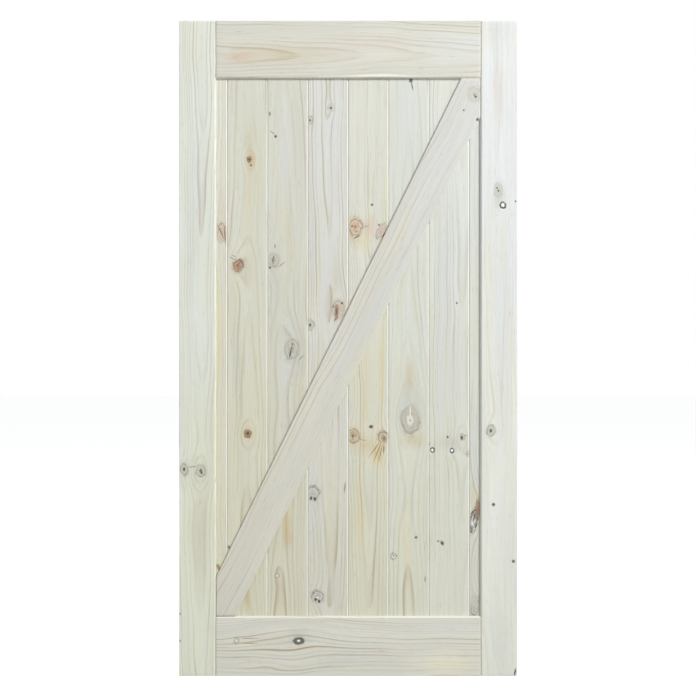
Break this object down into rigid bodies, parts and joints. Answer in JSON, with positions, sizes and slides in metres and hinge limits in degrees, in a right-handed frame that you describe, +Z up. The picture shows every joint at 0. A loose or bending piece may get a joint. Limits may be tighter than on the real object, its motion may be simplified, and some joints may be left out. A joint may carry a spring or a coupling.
{
  "type": "sliding barn door",
  "caption": "Unfinished knotty pine barn door slab: stile-and-rail frame round vee-jointed tongued-and-grooved planks, with a diagonal brace on the front.",
  "frame": {"origin": "middle of the bottom edge, halfway through the door's thickness", "axes": "+Z up the door, +X across it to the right as seen from the front, -Y out of the front face, the one with the brace"},
  "size_m": [1.067, 0.035, 2.068],
  "materials": {
    "frame_pine": "bare knotty pine, sanded smooth, arrises eased",
    "plank_pine": "bare knotty pine, planed smooth, flat-sawn",
    "brace_pine": "bare pine, sanded smooth, straight-grained",
    "dowel_beech": "bare fluted beech",
    "zinc_steel": "zinc-plated, slightly yellow"
  },
  "bodies": {
    "root": {"stile_left": "frame_pine", "stile_right": "frame_pine", "rail_top": "frame_pine", "rail_bottom": "frame_pine", "plank_1": "plank_pine", "plank_2": "plank_pine", "plank_3": "plank_pine", "plank_4": "plank_pine", "plank_5": "plank_pine", "plank_6": "plank_pine", "plank_7": "plank_pine", "plank_8": "plank_pine", "brace": "brace_pine", "brace_screws": "zinc_steel", "dowel_top_left_1": "dowel_beech", "dowel_top_left_2": "dowel_beech", "dowel_top_left_3": "dowel_beech", "dowel_top_right_1": "dowel_beech", "dowel_top_right_2": "dowel_beech", "dowel_top_right_3": "dowel_beech", "dowel_bottom_left_1": "dowel_beech", "dowel_bottom_left_2": "dowel_beech", "dowel_bottom_left_3": "dowel_beech", "dowel_bottom_right_1": "dowel_beech", "dowel_bottom_right_2": "dowel_beech", "dowel_bottom_right_3": "dowel_beech"}
  },
  "joints": []
}
